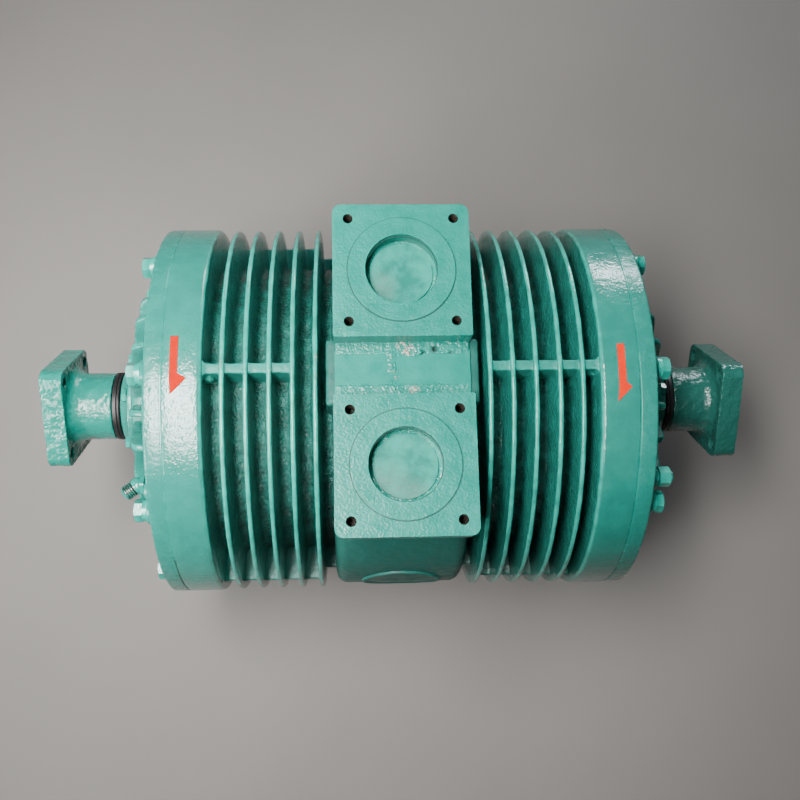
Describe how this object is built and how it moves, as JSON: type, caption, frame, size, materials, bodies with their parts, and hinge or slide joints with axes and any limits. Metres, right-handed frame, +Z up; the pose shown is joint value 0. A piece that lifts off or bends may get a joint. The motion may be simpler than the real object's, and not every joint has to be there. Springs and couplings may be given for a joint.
{
  "type": "rotary vane vacuum pump",
  "caption": "Air-cooled rotary vane pump for a suction tanker: finned casing, two top port flanges and a through shaft with square drive flanges.",
  "frame": {"origin": "on the feet plane, below the middle of the casing", "axes": "+X along the shaft towards the right-hand drive flange, +Y towards the rear port flange, +Z up"},
  "size_m": [0.8, 0.432, 0.4778],
  "materials": {
    "painted_cast_iron": "gloss teal enamel over rough castings",
    "painted_fasteners": "gloss teal enamel over hex fasteners",
    "painted_disc": "teal overspray on a masking disc",
    "signal_orange": "satin orange",
    "black_rubber": "matt",
    "gasket_paper": "fibre gasket sheet, matt",
    "bearing_steel": "ground and polished",
    "bearing_brass": "machined",
    "machined_steel": "turned",
    "zinc_steel": "zinc plated",
    "bare_cast_iron": "machined cast iron",
    "vane_composite": "aramid fibre laminate"
  },
  "bodies": {
    "base": {"casing": "painted_cast_iron", "drain_plug": "painted_fasteners", "inlet_blanking_disc": "painted_disc", "outlet_blanking_disc": "painted_disc", "oil_nipple": "painted_fasteners", "oil_connector": "painted_fasteners", "oil_connector_nut": "painted_fasteners", "left_rotation_arrow": "signal_orange", "right_rotation_arrow": "signal_orange", "left_cover_gasket": "gasket_paper", "left_end_cover": "painted_cast_iron", "left_cover_bolts": "painted_fasteners", "left_flat_washers": "painted_fasteners", "left_spring_washers": "painted_fasteners", "left_bearing_cap": "painted_cast_iron", "left_cap_gasket": "gasket_paper", "left_cap_screws": "painted_fasteners", "left_outer_race": "bearing_steel", "left_inner_seal": "black_rubber", "left_outer_seal": "black_rubber", "right_cover_gasket": "gasket_paper", "right_end_cover": "painted_cast_iron", "right_cover_bolts": "painted_fasteners", "right_flat_washers": "painted_fasteners", "right_spring_washers": "painted_fasteners", "right_bearing_cap": "painted_cast_iron", "right_cap_gasket": "gasket_paper", "right_cap_screws": "painted_fasteners", "right_outer_race": "bearing_steel", "right_inner_seal": "black_rubber", "right_outer_seal": "black_rubber"},
    "rotor_set": {"shaft": "machined_steel", "rotor": "bare_cast_iron", "rotor_key": "machined_steel", "left_inner_race": "bearing_steel", "left_shaft_ring": "black_rubber", "left_drive_flange": "painted_cast_iron", "left_flange_key": "machined_steel", "left_end_washer": "zinc_steel", "left_end_bolt": "zinc_steel", "right_inner_race": "bearing_steel", "right_shaft_ring": "black_rubber", "right_drive_flange": "painted_cast_iron", "right_flange_key": "machined_steel", "right_end_washer": "zinc_steel", "right_end_bolt": "zinc_steel"},
    "vane_body_1": {"vane_1": "vane_composite"},
    "vane_body_2": {"vane_2": "vane_composite"},
    "vane_body_3": {"vane_3": "vane_composite"},
    "vane_body_4": {"vane_4": "vane_composite"},
    "left_roller_set": {"left_rollers": "bearing_steel", "left_roller_cage": "bearing_brass"},
    "right_roller_set": {"right_rollers": "bearing_steel", "right_roller_cage": "bearing_brass"}
  },
  "joints": [
    {"name": "shaft_spin", "type": "hinge", "parent": "base", "child": "rotor_set", "pos_m": [0, 0, 0.27], "axis": [1, 0, 0], "continuous": true},
    {"name": "vane_slide_1", "type": "slide", "parent": "rotor_set", "child": "vane_body_1", "axis": [0, 0.4664, 0.8846], "range_m": [0, 0.0075]},
    {"name": "vane_slide_2", "type": "slide", "parent": "rotor_set", "child": "vane_body_2", "axis": [0, -0.8846, 0.4664], "range_m": [0, 0.0075]},
    {"name": "vane_slide_3", "type": "slide", "parent": "rotor_set", "child": "vane_body_3", "axis": [0, -0.4664, -0.8846], "range_m": [0, 0.0075]},
    {"name": "vane_slide_4", "type": "slide", "parent": "rotor_set", "child": "vane_body_4", "axis": [0, 0.8846, -0.4664], "range_m": [0, 0.0075]},
    {"name": "left_rollers_orbit", "type": "hinge", "parent": "base", "child": "left_roller_set", "pos_m": [-0.2815, 0, 0.27], "axis": [1, 0, 0], "continuous": true},
    {"name": "right_rollers_orbit", "type": "hinge", "parent": "base", "child": "right_roller_set", "pos_m": [0.2815, 0, 0.27], "axis": [1, 0, 0], "continuous": true}
  ],
  "couplings": [
    {"joint": "left_rollers_orbit", "follows": "shaft_spin", "ratio": 0.422},
    {"joint": "right_rollers_orbit", "follows": "shaft_spin", "ratio": 0.422}
  ]
}
